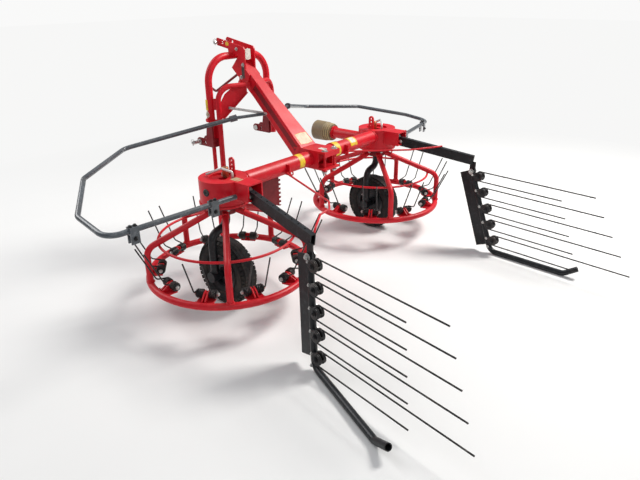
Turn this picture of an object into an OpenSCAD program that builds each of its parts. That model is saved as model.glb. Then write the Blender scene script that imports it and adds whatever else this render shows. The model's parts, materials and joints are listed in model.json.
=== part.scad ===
/* [Layout] */
// Distance from the middle of the machine to each rotor axis
rotor_y = 720; // [690:5:760]
// Distance that the origin lies behind the rotor axes
origin_back = 458; // [400:1:480]
// Height of the top of the hoods
hood_top = 735; // [725:1:745]

/* [Rotors] */
// Radius of the main ring to the middle of its tube
ring_r = 439; // [430:1:450]
// Height of the main ring
ring_z = 200; // [195:1:205]
// Diameter of the main ring's tube
ring_tube = 38; // [30:1:42]
// Radius of the thin ring of rod
rod_ring_r = 370; // [355:1:385]
// Diameter of the thin ring's rod
rod_ring_d = 14; // [10:1:18]
// Number of spokes on a rotor
spoke_count = 5; // [4:1:6]
// Angle of the first spoke, from straight ahead
first_spoke = 66; // [55:1:72]
// Diameter of a spoke's tube
spoke_d = 34; // [28:1:38]
// Height of a spoke where it leaves the hub
spoke_top = 556; // [552:1:560]
// Height of the corner where a spoke turns down
spoke_corner = 406; // [400:1:412]
// Angle from a spoke to the tine holders beside it
holder_angle = 18; // [16:1:20]

/* [Tines] */
// Diameter of the rotor tines' wire
tine_wire = 8; // [6:0.5:9]
// Outer diameter of a rotor tine's coil
tine_coil = 48; // [42:1:52]
// Length of one coil along its axis
coil_length = 34; // [24:1:36]
// Radius of the tine tips from the rotor axis
tine_reach = 520; // [490:5:540]
// Height of the tine tips
tine_tip_z = 470; // [440:5:480]
// Diameter of the gate tines' wire
gate_wire = 8; // [6:0.5:9]
// Outer diameter of a gate tine's coil
gate_coil = 62; // [54:1:66]
// Length of a gate tine's long leg
long_leg = 786; // [700:2:820]
// Length that each long leg has over the one above it
leg_step = 26; // [0:2:30]
// Length of a gate tine's short leg
short_leg = 560; // [450:10:620]

/* [Wheels] */
// Outer diameter of the tyre
tyre_d = 382; // [378:1:386]
// Width of the tyre
tyre_w = 108; // [104:1:114]
// Diameter of the rim's seat
rim_d = 203; // [198:1:210]
// Diameter of the wheel leg's tube
leg_d = 45; // [40:1:48]
// Diameter of the wheel's axle
axle_d = 25; // [20:1:30]

/* [Headstock] */
// Diameter of the front hoop's tube
hoop_d = 45; // [42:1:48]
// Half of the distance between the hoop's legs
hoop_half = 255; // [250:1:260]
// Height of the hoop's top tube
hoop_top = 1250; // [1240:1:1260]
// Diameter of the inner tubes behind the hoop
inner_d = 34; // [30:1:38]
// Height of the lower hitch pins
hitch_z = 730; // [726:1:734]
// Diameter of the lower hitch pins
hitch_pin_d = 22; // [20:1:24]
// Height of the top link pin
top_link_z = 1322; // [1319:1:1325]
// Diameter of the top link pin
top_link_d = 19; // [18:1:21]
// Width of the sloping beam
beam_w = 76; // [70:1:80]
// Depth of the sloping beam
beam_h = 90; // [84:1:96]
// Diameter of the cross tube
cross_d = 90; // [84:1:94]
// Height of the cross tube
cross_z = 690; // [688:1:692]

/* [Guards and gates] */
// Diameter of the guard tubes
guard_d = 27; // [25:1:30]
// Width of the gate arms' tube
arm_w = 30; // [28:1:34]
// Height of the gate arms' tube
arm_h = 60; // [56:1:64]
// Diameter of the tube that each gate hangs on
gate_tube = 34; // [30:1:36]
// Width of the wind plates
wind_w = 85; // [70:1:90]
// Number of tines on a gate
gate_tines = 5; // [4:1:5]

/* [Drive] */
// Diameter of the drive input's stub shaft
shaft_d = 35; // [33:1:36]
// Diameter of the cone guard at its open end
cone_d = 144; // [140:1:150]

/* [Hidden] */
$fn = 48;

red = [0.74, 0.04, 0.08];
dark_red = [0.36, 0.02, 0.04];
black = [0.06, 0.06, 0.07];
grey = [0.48, 0.5, 0.52];
steel = [0.72, 0.72, 0.7];
tan = [0.55, 0.45, 0.25];

// Gap between pieces that are bolted or welded side by side
seat = 0.3;
// Gap round a shaft that turns or slides in its bore
run = 0.05;

// Straight and bent round bars
function toward(a, b) = (b - a) / norm(b - a);
function half_turn(p, i) = acos(toward(p[i], p[i - 1]) * toward(p[i], p[i + 1])) / 2;
function setback(p, i, r) = i == 0 || i == len(p) - 1 ? 0 : r / tan(half_turn(p, i));

module frame_at(origin, x, y, z) {
    multmatrix([
        [x[0], y[0], z[0], origin[0]],
        [x[1], y[1], z[1], origin[1]],
        [x[2], y[2], z[2], origin[2]],
        [0, 0, 0, 1]
    ]) children();
}

module rod(a, b, d) {
    v = b - a;
    translate(a)
        rotate([0, acos(v[2] / norm(v)), atan2(v[1], v[0])])
            cylinder(h = norm(v), d = d);
}

// A bend is a hair thinner than its straights, which lap into it
lap = 1;
thinner = 0.2;

module bend(a, b, c, d, r) {
    u = toward(b, a);
    w = toward(b, c);
    half = acos(u * w) / 2;
    middle = b + (u + w) / norm(u + w) * r / sin(half);
    x = toward(middle, b + u * r / tan(half));
    z = cross(u, w) / norm(cross(u, w)) * -1;
    frame_at(middle, x, cross(z, x), z)
        rotate_extrude(angle = 180 - 2 * half)
            translate([r, 0])
                circle(d = d - thinner, $fn = 24);
}

module pipe(p, d, r) {
    for (i = [0 : len(p) - 2])
        rod(p[i] + toward(p[i], p[i + 1]) * (setback(p, i, r) - (i == 0 ? 0 : lap)),
            p[i + 1] + toward(p[i + 1], p[i]) * (setback(p, i + 1, r) - (i == len(p) - 2 ? 0 : lap)), d);
    for (i = [1 : 1 : len(p) - 2])
        bend(p[i - 1], p[i], p[i + 1], d, r);
}

// Box of width w and height h round the line from a to b, its height in the upright plane
module bar(a, b, w, h) {
    x = toward(a, b);
    y = cross([0, 0, 1], x) / norm(cross([0, 0, 1], x));
    frame_at(a, x, y, cross(x, y))
        translate([0, -w / 2, -h / 2])
            cube([norm(b - a), w, h]);
}

// Plate whose outline is given in x and z, standing from y to y + t
module side_plate(outline, y, t) {
    translate([0, y + t, 0])
        rotate([90, 0, 0])
            linear_extrude(t)
                polygon(outline);
}

module cross_bore(x, z, d, y = 0, length = 600) {
    translate([x, y, z])
        rotate([90, 0, 0])
            cylinder(h = length, d = d, center = true);
}

// Headstock
hoop_x = 607;
hoop_foot = 706;
hoop_bend = 150;
inner_x = 548;
inner_y = 240;
inner_top = 1080;
inner_bend = 90;
inner_foot_left = 520;
inner_foot_right = 715;
clevis_t = 10;
clevis_front = 728;
clevis_back = 572;
clevis_h = 48;
pin_x = [698, 652];
beam_tail = [54, 0, 718];
beam_head = [594, 0, 1206];
beam_slope = atan2(beam_head[2] - beam_tail[2], beam_head[0] - beam_tail[0]);
head_t = 8;
top_link_x = [730, 688];

hoop_path = [
    [hoop_x, hoop_half, hoop_foot],
    [hoop_x, hoop_half, hoop_top],
    [hoop_x, -hoop_half, hoop_top],
    [hoop_x, -hoop_half, hoop_foot]
];

module hoop_solid(extra = 0) {
    pipe(hoop_path, hoop_d + 2 * extra, hoop_bend);
}

// The left leg is open below for the parking leg
module hoop() {
    color(red) difference() {
        union() {
            hoop_solid();
            for (side = [-1, 1])
                rod([hoop_x - 6, side * hoop_half, 880], [hoop_x - 6, side * (hoop_half + 43), 880], 25);
        }
        translate([hoop_x, hoop_half, hoop_foot - 1])
            cylinder(h = park_bore, d = park_d + 2 * run);
    }
}

function inner_path(side, foot) = [
    [470, side * (beam_w / 2 + seat), inner_top],
    [inner_x, side * inner_y, inner_top],
    [inner_x, side * inner_y, foot]
];

module inner_tube_solid(side, foot, extra = 0) {
    pipe(inner_path(side, foot), inner_d + 2 * extra, inner_bend);
}

// Link plates hold the inner tube to the hoop's leg
link_plates = [[760, 120], [940, 70]];

module inner_tube(side, foot) {
    along = toward([inner_x, side * inner_y, 0], [hoop_x, side * hoop_half, 0]);
    color(red) difference() {
        union() {
            inner_tube_solid(side, foot);
            for (l = link_plates)
                frame_at([inner_x, side * inner_y, l[0]], along, cross([0, 0, 1], along), [0, 0, 1])
                    translate([inner_d / 2 - 3, -4, 0])
                        cube([hoop_x - inner_x - inner_d / 2 - 12, 8, l[1]]);
        }
        hoop_solid(seat);
        beam_solid(seat);
    }
}

module inner_tube_left() { inner_tube(1, inner_foot_left); }
module inner_tube_right() { inner_tube(-1, inner_foot_right); }

// Gusset plate with a flange, in the upright plane of the inner tube
gusset_outline = [[20, -10], [120, -10], [170, -45], [205, -100], [205, -195], [190, -195], [20, -45]];

module corner_gusset(side) {
    start = inner_path(side, 0)[0];
    corner = inner_path(side, 0)[1];
    x = toward(start, corner);
    color(red) difference() {
        frame_at(start, x, cross([0, 0, 1], x), [0, 0, 1]) {
            translate([0, 3, 0])
                rotate([90, 0, 0])
                    linear_extrude(6)
                        polygon(gusset_outline);
            translate([190, -12.5, -195])
                rotate([0, -138.6, 0])
                    translate([0, 0, -1])
                        cube([227, 25, 5]);
        }
        inner_tube_solid(side, 600, seat);
        beam_solid(seat);
    }
}

module corner_gusset_left() { corner_gusset(1); }
module corner_gusset_right() { corner_gusset(-1); }

// Lower hitch clevis: two plates beside the hoop's leg and a web behind it
clevis_outline = [
    [clevis_back, hitch_z - clevis_h / 2],
    [clevis_front - 14, hitch_z - clevis_h / 2],
    [clevis_front, hitch_z - 12],
    [clevis_front, hitch_z + 12],
    [clevis_front - 14, hitch_z + clevis_h / 2],
    [hoop_x + 30, hitch_z + clevis_h / 2],
    [hoop_x + 15, 850],
    [clevis_back, 850]
];

module clevis(side) {
    gap = hoop_d / 2 + seat;
    color(dark_red) difference() {
        union() {
            side_plate(clevis_outline, side * hoop_half + gap, clevis_t);
            side_plate(clevis_outline, side * hoop_half - gap - clevis_t, clevis_t);
            translate([clevis_back + 2, side * hoop_half - gap - 1, hitch_z - clevis_h / 2])
                cube([8, 2 * gap + 2, 52]);
        }
        for (x = pin_x)
            cross_bore(x, hitch_z, hitch_pin_d + 2 * run, side * hoop_half, 120);
        inner_tube_solid(side, 400, seat);
    }
}

module clevis_left() { clevis(1); }
module clevis_right() { clevis(-1); }

// Hitch pin: collar inside, shank through both plates and out to the side
module hitch_pin(side) {
    gap = hoop_d / 2 + seat + clevis_t;
    color(steel) translate([pin_x[0], side * hoop_half, hitch_z])
        rotate([-90 * side, 0, 0]) {
            translate([0, 0, -gap - seat - 8])
                cylinder(h = 8, d = 34);
            translate([0, 0, -gap - seat - 8])
                cylinder(h = 2 * gap + 68.4, d = hitch_pin_d);
            translate([0, 0, gap + seat])
                cylinder(h = 8, d = 34);
            translate([0, 0, gap + 60])
                cylinder(h = 10, d1 = hitch_pin_d, d2 = 12);
        }
}

module hitch_pin_left() { hitch_pin(1); }
module hitch_pin_right() { hitch_pin(-1); }

// Head plates run from the top link pin over the hoop and down under the beam
head_outline = [
    [top_link_x[0] + 4, top_link_z - 18], [top_link_x[0] + 18, top_link_z - 8],
    [top_link_x[0] + 18, top_link_z + 16], [top_link_x[0] + 6, top_link_z + 28],
    [500, 1305], [490, 1290], [490, 1172], [455, 1140], [470, 1098], [552, 1071],
    [552, hoop_top + 6], [582, hoop_top], [632, hoop_top], [640, 1288]
];

module head_plates() {
    color(red) difference() {
        for (side = [-1, 1])
            side_plate(head_outline, side * (beam_w / 2 + seat + head_t / 2) - head_t / 2, head_t);
        hoop_solid(seat);
        for (x = top_link_x)
            cross_bore(x, top_link_z, top_link_d + 2 * run);
        for (side = [-1, 1])
            inner_tube_solid(side, 800, seat);
    }
}

module top_link_pin() {
    gap = beam_w / 2 + seat + head_t + seat;
    color(steel) translate([top_link_x[0], 0, top_link_z])
        rotate([-90, 0, 0]) {
            translate([0, 0, -gap - 6])
                cylinder(h = 6, d = 30);
            translate([0, 0, -gap - 6])
                cylinder(h = 2 * gap + 36, d = top_link_d);
        }
}

// Curved hook that carries the drive shaft when the machine is parked
hook_path = [
    [575, 0, 1150],
    [770, 60, 1012],
    [815, 60, 1030],
    [835, 60, 1075]
];

module shaft_hook() {
    color(dark_red) difference() {
        pipe(hook_path, 16, 22);
        beam_solid(seat);
    }
}

// Sloping box beam from the head plates down to the clamp on the cross tube
module beam_solid(extra = 0) {
    along = toward(beam_tail, beam_head);
    bar(beam_tail - along * extra, beam_head + along * extra, beam_w + 2 * extra, beam_h + 2 * extra);
}

module main_beam() {
    color(red) difference() {
        beam_solid();
        hoop_solid(seat);
        translate([-60, -100, 600]) cube([200, 200, cross_z + cross_d / 2 + foot_t + seat - 600]);
    }
}

// Clamp foot: cheeks round the cross tube between a top and a bottom plate
cross_x = -35;
foot_t = 12;
foot_back = -168;
foot_front = 78;
foot_half = 72;
foot_bolts = [[-146, -45], [-146, 45]];

module beam_foot() {
    top = cross_z + cross_d / 2;
    color(red) difference() {
        union() {
            translate([foot_back, -foot_half, top])
                cube([foot_front - foot_back, 2 * foot_half, foot_t]);
            translate([foot_back, -foot_half, cross_z - cross_d / 2 - foot_t])
                cube([foot_front - foot_back - 40, 2 * foot_half, foot_t]);
            for (y = [-foot_half, foot_half - 8])
                translate([foot_back + 50, y, cross_z - cross_d / 2 - 1])
                    cube([foot_front - foot_back - 90, 8, cross_d + 2]);
            for (b = foot_bolts)
                translate([b[0], b[1], cross_z - cross_d / 2 - 22])
                    cylinder(h = cross_d + 46, d = 16);
        }
        cross_bore(cross_x, cross_z, cross_d + 2 * seat);
    }
}

// Round tube between the hoods with two lugs for the brace rods
hood_r = 128;
hood_base = 595;
bracket_low = 645;
dish = 12;

module cross_tube() {
    half = rotor_y - sqrt(pow(hood_r + seat, 2) - pow(cross_x - cross_d / 2, 2)) + 2;
    color(red) difference() {
        union() {
            cross_bore(cross_x, cross_z, cross_d, 0, 2 * rotor_y - 2 * 60);
            for (y = brace_lugs)
                translate([cross_x - cross_d / 2 - 22, y - 4, cross_z - 36])
                    cube([40, 8, 62]);
            cross_bore(cross_x, cross_z, cross_d + 10, -180, 60);
        }
        for (side = [-1, 1])
            translate([0, side * rotor_y, 500])
                cylinder(h = 300, r = hood_r + seat);
        for (y = brace_lugs)
            cross_bore(cross_x - cross_d / 2 - 12, brace_z, brace_d + 2 * seat, y, 30);
    }
}

// Hood over a rotor's bearing, with the bracket that takes the gate arm and the guard
arm_in = [-150, 700, 676];
arm_out = [-700, 818, 592];

function mirror_y(p, side) = [p[0], side * p[1], p[2]];

module arm_solid(side, extra = 0) {
    a = mirror_y(arm_in, side);
    b = mirror_y(arm_out, side);
    bar(a - toward(a, b) * extra, b, arm_w + 2 * extra, arm_h + 2 * extra);
}

module hood(side) {
    color(red) difference() {
        union() {
            translate([0, side * rotor_y, hood_base])
                cylinder(h = hood_top - hood_base, r = hood_r);
            translate([0, side * rotor_y, hood_base])
                cylinder(h = 10, r = hood_r + 6);
            translate([-222, side * 700 - 52, bracket_low])
                cube([150, 104, hood_top - bracket_low]);
        }
        translate([0, side * rotor_y, hood_base - 1])
            cylinder(h = 200, d = leg_d + 2 * run);
        translate([0, side * rotor_y, hood_top - dish])
            cylinder(h = dish + 1, r = 70);
        translate([-223, side * 700 - 44, bracket_low + 8])
            cube([80, 88, hood_top - bracket_low - 16]);
        arm_solid(side, seat);
        guard_solid(side, seat);
    }
}

module hood_left() { hood(1); }
module hood_right() { hood(-1); }

// Slotted plate, crank and knob that set the rotor's height
module adjuster(side) {
    y = side * 650;
    color(red) difference() {
        union() {
            translate([-20, y - 4, hood_top + seat])
                cube([40, 8, 68]);
            cross_bore(0, hood_top + 68, 40, y, 8);
        }
        for (z = [26, 48, 70])
            cross_bore(0, hood_top + z, 13, y, 30);
    }
    color(steel)
        pipe([[-54, side * 700, hood_top - dish + seat], [-54, side * 700, hood_top + 28],
            [-17, side * 740, hood_top + 50], [70, side * 770, hood_top + 9]], 12, 12);
    color(tan) translate([5, side * 694, hood_top - dish + seat])
        cylinder(h = dish + 42, d = 34);
}

module adjuster_left() { adjuster(1); }
module adjuster_right() { adjuster(-1); }

// Shield that hangs under the cross tube beside the left hood, with a toothed inner edge
shield_in = 337;
shield_out = 594;
shield_t = 6;
tooth_pitch = 26;

module side_shield() {
    top = cross_z - cross_d / 2 + 6;
    color(dark_red) difference() {
        translate([cross_x - shield_t / 2, 0, 0])
            rotate([90, 0, 90])
                linear_extrude(shield_t)
                    difference() {
                        polygon([
                            [shield_in - 14, 465], [shield_in, 465], [shield_out, 566], [shield_out, top],
                            [shield_in - 14, top]
                        ]);
                        for (i = [0 : 6])
                            translate([shield_in - 15, 470 + tooth_pitch * i])
                                square([15, 15]);
                    }
        cross_bore(cross_x, cross_z, cross_d + 2 * seat, 500);
        translate([0, rotor_y, 490])
            cylinder(h = 300, r = hood_r + 6 + seat);
    }
}

// Drive input: tube housing on the right hood, tan cone guard, splined stub
input_z = 643;
housing_front = 384;
cone_front = 545;

module drive_housing() {
    color(red) difference() {
        union() {
            translate([60, -rotor_y, input_z]) rotate([0, 90, 0])
                cylinder(h = housing_front - 60, d = 76);
            translate([housing_front - 12, -rotor_y, input_z]) rotate([0, 90, 0])
                cylinder(h = 12, d = 96);
        }
        translate([0, -rotor_y, 400]) cylinder(h = 400, r = hood_r + seat);
        translate([housing_front - 60, -rotor_y, input_z]) rotate([0, 90, 0])
            cylinder(h = 61, d = 45 + 2 * run);
    }
}

module cone_guard() {
    l = cone_front - housing_front - seat;
    color(tan) translate([housing_front + seat, -rotor_y, input_z])
        rotate([0, 90, 0])
            rotate_extrude()
                polygon([
                    [30, 0], [58, 0], [63, 12], [60, 20], [65, 28], [62, 36], [67, 44], [64, 52],
                    [70, 60], [cone_d / 2, l], [cone_d / 2 - 4, l], [56, 8], [30, 8]
                ]);
}

module input_shaft() {
    color(steel) translate([housing_front - 58, -rotor_y, input_z])
        rotate([0, 90, 0])
            difference() {
                union() {
                    cylinder(h = 62, d = 45);
                    cylinder(h = 150, d = shaft_d);
                }
                for (a = [0 : 60 : 300])
                    rotate([0, 0, a])
                        translate([shaft_d / 2 - 3, -4, 75])
                            cube([6, 8, 80]);
            }
}

// Guard tubes, each from its hood's bracket round the rotor to the beam
function guard_path(side) = [
    [-150, 772, 668],
    side > 0 ? [-88, 1470, 660] : [20, 1474.1, 645],
    [202, 1435, 680], [516, 1212, 745], [758, 805, 781], guard_end
];
guard_end = [400, 236, 911];
guard_bends = 70;

module guard_solid(side, extra = 0) {
    pipe([for (p = guard_path(side)) mirror_y(p, side)], guard_d + 2 * extra, guard_bends);
}

// Clamp plates on the guard tube's rear run, at shares of its length
clamp_shares = [0.2, 0.82];
clamp_w = guard_d + 8;

module guard(side) {
    a = mirror_y(guard_path(side)[0], side);
    b = mirror_y(guard_path(side)[1], side);
    from = mirror_y(guard_path(side)[4], side);
    end = mirror_y(guard_end, side);
    color(grey) difference() {
        union() {
            guard_solid(side);
            for (s = clamp_shares)
                frame_at(a + (b - a) * s, toward(a, b), cross([0, 0, 1], toward(a, b)), [0, 0, 1])
                    translate([-22, -clamp_w / 2, -62])
                        cube([44, clamp_w, 62 + clamp_w / 2]);
            rod(end + toward(end, from) * 38, end + toward(from, end) * 6, guard_d + 12);
            rod(end + toward(end, from) * 3, [322, side * (beam_w / 2 - 6), 914], 20);
            rod([500, side * 200, 955], [300, side * (beam_w / 2 - 6), 912], 16);
        }
        beam_solid(seat);
        inner_tube_solid(side, 700, seat);
        corner_gusset_cut(side);
        for (s = clamp_shares)
            frame_at(a + (b - a) * s, toward(a, b), cross([0, 0, 1], toward(a, b)), [0, 0, 1])
                translate([-23, -clamp_w / 2 + 6, -63])
                    cube([46, clamp_w - 12, 46]);
    }
}

module corner_gusset_cut(side) {
    start = inner_path(side, 0)[0];
    corner = inner_path(side, 0)[1];
    x = toward(start, corner);
    frame_at(start, x, cross([0, 0, 1], x), [0, 0, 1])
        translate([190, -13.5, -195])
            rotate([0, -138.6, 0])
                translate([-20, 0, -30])
                    cube([265, 27, 36]);
}

module guard_left() { guard(1); }
module guard_right() { guard(-1); }

// Bent brace rods from the cross tube's lugs to the gate arms
brace_d = 11;
brace_lugs = [305, -250];
lug_drop = 18;
brace_z = cross_z - lug_drop;
brace_left_path = [
    [-92, 288, brace_z], [-92, 326, brace_z], [-533, 492, 646], [-590, 560, 640], [-598, 640, 637],
    [-660, 750, 624], [-676, 791.3, 585]
];
brace_right_path = [
    [-92, -233, brace_z], [-92, -268, brace_z], [-373, -555, 665], [-464, -695, 667], [-487, -775, 661.6]
];

module brace_left() {
    color(red) pipe(brace_left_path, brace_d, 24);
}

module brace_right() {
    color(red) pipe(brace_right_path, brace_d, 24);
}

// Gate arm of square tube with a row of pin holes on top and a tab at its end
pivot_drop = 73;
tab_t = 8;
gate_hang = [18, 0];
function gate_pivot(side) =
    mirror_y(arm_out, side) - [0, 0, pivot_drop] + gate_normal(side) * gate_hang[gate_row(side)];

module gate_arm(side) {
    a = mirror_y(arm_in, side);
    b = mirror_y(arm_out, side);
    x = toward(a, b);
    y = cross([0, 0, 1], x) / norm(cross([0, 0, 1], x));
    n = gate_normal(side);
    color(black) difference() {
        union() {
            arm_solid(side);
            frame_at(gate_pivot(side), cross(n, [0, 0, 1]), n, [0, 0, 1]) {
                translate([-20, -tab_t / 2, 0])
                    cube([40, tab_t, pivot_drop - 10]);
                rotate([90, 0, 0])
                    cylinder(h = tab_t, d = 40, center = true);
            }
        }
        frame_at(b, x, y, cross(x, y))
            translate([-30, -arm_w / 2 + 4, -arm_h / 2 + 4])
                cube([31, arm_w - 8, arm_h - 8]);
        for (i = [0 : 8])
            frame_at(a + x * (90 + 52 * i), x, y, cross(x, y))
                translate([0, 0, arm_h / 2 - 10])
                    cylinder(h = 11, d = 9);
        frame_at(gate_pivot(side), cross(n, [0, 0, 1]), n, [0, 0, 1])
            rotate([90, 0, 0])
                cylinder(h = 40, d = 14 + 2 * run, center = true);
    }
}

module gate_arm_left() { gate_arm(1); }
module gate_arm_right() { gate_arm(-1); }

// Gates: foot of the hanging tube, end of the straight skid, yaw of the tines from straight back
gate_foot = [[-803, 942, 17], [-905, -764, 17]];
skid_end = [[-1290, 1160, 17], [-1393, -728, 17]];
skid_tip = [[-1375, 1197, 62], [-1468, -745, 62]];
tine_yaw = [10.5, 6];

function gate_row(side) = side > 0 ? 0 : 1;
function tine_way(side) = [-cos(tine_yaw[gate_row(side)]), sin(tine_yaw[gate_row(side)]), 0];
function gate_normal(side) = cross(tine_way(side), [0, 0, 1]);
// The hanging tube starts at the pivot, with a slot for the arm's tab
function tube_top(side) = gate_pivot(side) + [0, 0, 6];
function tube_way(side) = toward(tube_top(side), gate_foot[gate_row(side)]);

// Double coil spring tines behind the hanging tube, a long leg above and a short one below
first_tine = 28;
tine_pitch = 108;
coil_side = 14;
tine_lug = 10;
coil_gap = 1.5;
gate_pin = 14;

// The more the tube leans, the further behind its axis the coils stand
function tube_lean(side) = atan2(tube_way(side) * tine_way(side), -tube_way(side)[2]);
function coil_back(side) = (gate_tube / 2 + gate_coil / 2 + coil_gap) / cos(tube_lean(side));

function gate_coil_centres(side) = [
    for (i = [0 : gate_tines - 1])
        tube_top(side) + tube_way(side) * (first_tine + tine_pitch * i)
            + tine_way(side) * coil_back(side) + gate_normal(side) * coil_side
];

module tine_lugs(side) {
    way = tine_way(side);
    n = gate_normal(side);
    reach = gate_coil / 2 + 3;
    for (at = gate_coil_centres(side))
        frame_at(at, way, n, cross(way, n)) {
            translate([-reach - 14, -tine_lug / 2, -12])
                cube([reach + 24, tine_lug, 24]);
            rotate([90, 0, 0])
                cylinder(h = tine_lug + 2 * seat + 4 * gate_wire + 8, d = gate_pin, center = true);
        }
}

module gate_frame(side) {
    row = gate_row(side);
    n = gate_normal(side);
    top = tube_top(side);
    down = tube_way(side);
    length = norm(gate_foot[row] - top);
    fore = cross(down, n) / norm(cross(down, n));
    lean_n = cross(fore, down) * -1;
    color(black) difference() {
        union() {
            pipe([top, gate_foot[row], skid_end[row], skid_tip[row]], gate_tube, 60);
            frame_at(top, fore, lean_n, -down)
                translate([8, -2.5, -length + 48])
                    cube([wind_w, 5, length - 44]);
            frame_at(gate_pivot(side), cross(n, [0, 0, 1]), n, [0, 0, 1]) {
                translate([0, tab_t / 2 + seat + 3, 0])
                    rotate([90, 0, 0])
                        cylinder(h = 6, d = 44, center = true);
                translate([0, -tab_t / 2 - seat - 3, 0])
                    rotate([90, 0, 0])
                        cylinder(h = 6, d = 24, center = true);
                translate([-22, tab_t / 2 + seat, -60])
                    cube([44, 6, 60]);
                rotate([90, 0, 0])
                    cylinder(h = 34, d = 14, center = true);
            }
            tine_lugs(side);
        }
        frame_at(gate_pivot(side), cross(n, [0, 0, 1]), n, [0, 0, 1])
            translate([-26, -tab_t / 2 - seat, -24])
                difference() {
                    cube([52, tab_t + 2 * seat, 60]);
                    translate([26, -5, 24])
                        rotate([-90, 0, 0])
                            cylinder(h = 30, d = 14);
                }
        rod(skid_tip[row] + toward(skid_tip[row], skid_end[row]) * 40,
            skid_tip[row] - toward(skid_tip[row], skid_end[row]) * 5, gate_tube - 8);
    }
}

module gate_frame_left() { gate_frame(1); }
module gate_frame_right() { gate_frame(-1); }

// The short wire between two coils, and a straight leg, lie a hair off their coil wire's middle
join_out = 1.1;
join_up = 0.7;
leg_in = 0.9;
leg_out = 0.4;

// Coil along +Z: ridges of wire on a drum, with a bore for its pin
module coil(d, wire, length, turns, bore) {
    step = (length - wire) / (turns - 1);
    rotate_extrude() {
        translate([bore / 2, 0.3])
            square([(d - wire) / 2 - bore / 2, length - 0.6]);
        for (i = [0 : turns - 1])
            translate([(d - wire) / 2, wire / 2 + i * step])
                rotate([0, 0, 22.5])
                    circle(d = wire, $fn = 8);
    }
}

module gate_tine(at, way, long) {
    r = (gate_coil - gate_wire) / 2;
    frame_at(at, way, cross([0, 0, 1], way), [0, 0, 1]) {
        for (s = [-1, 1]) {
            y = s * (tine_lug / 2 + seat + gate_wire / 2);
            translate([0, s > 0 ? tine_lug / 2 + seat + 2 * gate_wire : -tine_lug / 2 - seat, 0])
                rotate([90, 0, 0])
                    coil(gate_coil, gate_wire, 2 * gate_wire, 2, gate_pin + 2 * seat);
            rod([-3, y + s * (gate_wire + leg_out), s * (r - leg_in)],
                [s > 0 ? long : short_leg, y + s * (gate_wire + leg_out), s * (r - leg_in)],
                gate_wire - 0.4);
        }
        rod([r + join_out, -tine_lug / 2 - 10, join_up], [r + join_out, tine_lug / 2 + 10, join_up],
            gate_wire - 0.4);
    }
}

module gate_tine_set(side) {
    color(black)
        for (i = [0 : gate_tines - 1])
            gate_tine(gate_coil_centres(side)[i], tine_way(side), long_leg + (i - 2) * leg_step);
}

module gate_tines_left() { gate_tine_set(1); }
module gate_tines_right() { gate_tine_set(-1); }

// Rotor: hub with its bore, spokes with the thin ring, main ring with holders, tines
hub_r = 105;
hub_low = 538;
hub_high = 590;

module at_rotor(side) {
    translate([0, side * rotor_y, 0]) children();
}

module hub(side) {
    color(dark_red) at_rotor(side) difference() {
        union() {
            translate([0, 0, hub_low]) cylinder(h = hub_high - hub_low - 2, r = 62);
            translate([0, 0, hub_high - 10]) cylinder(h = 10, r = hub_r);
        }
        translate([0, 0, hub_low - 1]) cylinder(h = 70, d = leg_d + 2 * run);
    }
}

module hub_left() { hub(1); }
module hub_right() { hub(-1); }

spoke_path = [[60, 0, spoke_top], [ring_r, 0, spoke_corner], [ring_r, 0, ring_z + ring_tube / 2 - 4]];

module spokes(side) {
    slope = (spoke_top - spoke_corner) / (ring_r - 60);
    rod_z = spoke_top - slope * (rod_ring_r - 60) - spoke_d / 2 / cos(atan(slope)) - rod_ring_d / 2 + 1;
    color(red) at_rotor(side) difference() {
        union() {
            for (i = [0 : spoke_count - 1])
                rotate([0, 0, first_spoke + i * 360 / spoke_count])
                    pipe(spoke_path, spoke_d, 70);
            translate([0, 0, rod_z])
                rotate_extrude($fn = 72)
                    translate([rod_ring_r, 0])
                        circle(d = rod_ring_d, $fn = 16);
        }
        translate([0, 0, 400]) cylinder(h = 200, r = 62 + seat);
        translate([0, 0, hub_high - 10 - seat]) cylinder(h = 30, r = hub_r + 1);
        ring_tube_solid(seat);
    }
}

module spokes_left() { spokes(1); }
module spokes_right() { spokes(-1); }

module ring_tube_solid(extra = 0) {
    translate([0, 0, ring_z])
        rotate_extrude($fn = 72)
            translate([ring_r, 0])
                circle(d = ring_tube + 2 * extra, $fn = 24);
}

// Tine holders: a sloping base plate on the ring, two lugs and the cross pin
holder_angles = [
    for (i = [0 : spoke_count - 1], s = [-1, 1]) first_spoke + i * 360 / spoke_count + s * holder_angle
];
coil_axis_r = 372;
coil_axis_z = 236;
coil_half_gap = 15;
lug_t = 7;
holder_pin = 14;

module holder() {
    translate([coil_axis_r - 6, -45, ring_z + 2])
        cube([ring_r - coil_axis_r - 4, 90, 7]);
    for (y = [-coil_half_gap + 3, coil_half_gap - 3 - lug_t])
        translate([0, y + lug_t, 0])
            rotate([90, 0, 0])
                linear_extrude(lug_t)
                    polygon([
                        [coil_axis_r - 12, ring_z + 4], [ring_r - 6, ring_z + 4], [ring_r - 8, ring_z + 24],
                        [coil_axis_r + 12, coil_axis_z + 14], [coil_axis_r - 12, coil_axis_z + 14],
                        [coil_axis_r - 14, coil_axis_z]
                    ]);
    translate([coil_axis_r, 0, coil_axis_z])
        rotate([90, 0, 0])
            cylinder(h = 2 * (coil_half_gap + coil_length + 6), d = holder_pin, center = true);
}

module ring(side) {
    color(red) at_rotor(side) {
        ring_tube_solid();
        for (a = holder_angles)
            rotate([0, 0, a]) holder();
    }
}

module ring_left() { ring(1); }
module ring_right() { ring(-1); }

// Rotor tine: a coil on each side of the holder, the wires joined in a loop over the lugs
knee_r = 428;
knee_z = 268;

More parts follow.
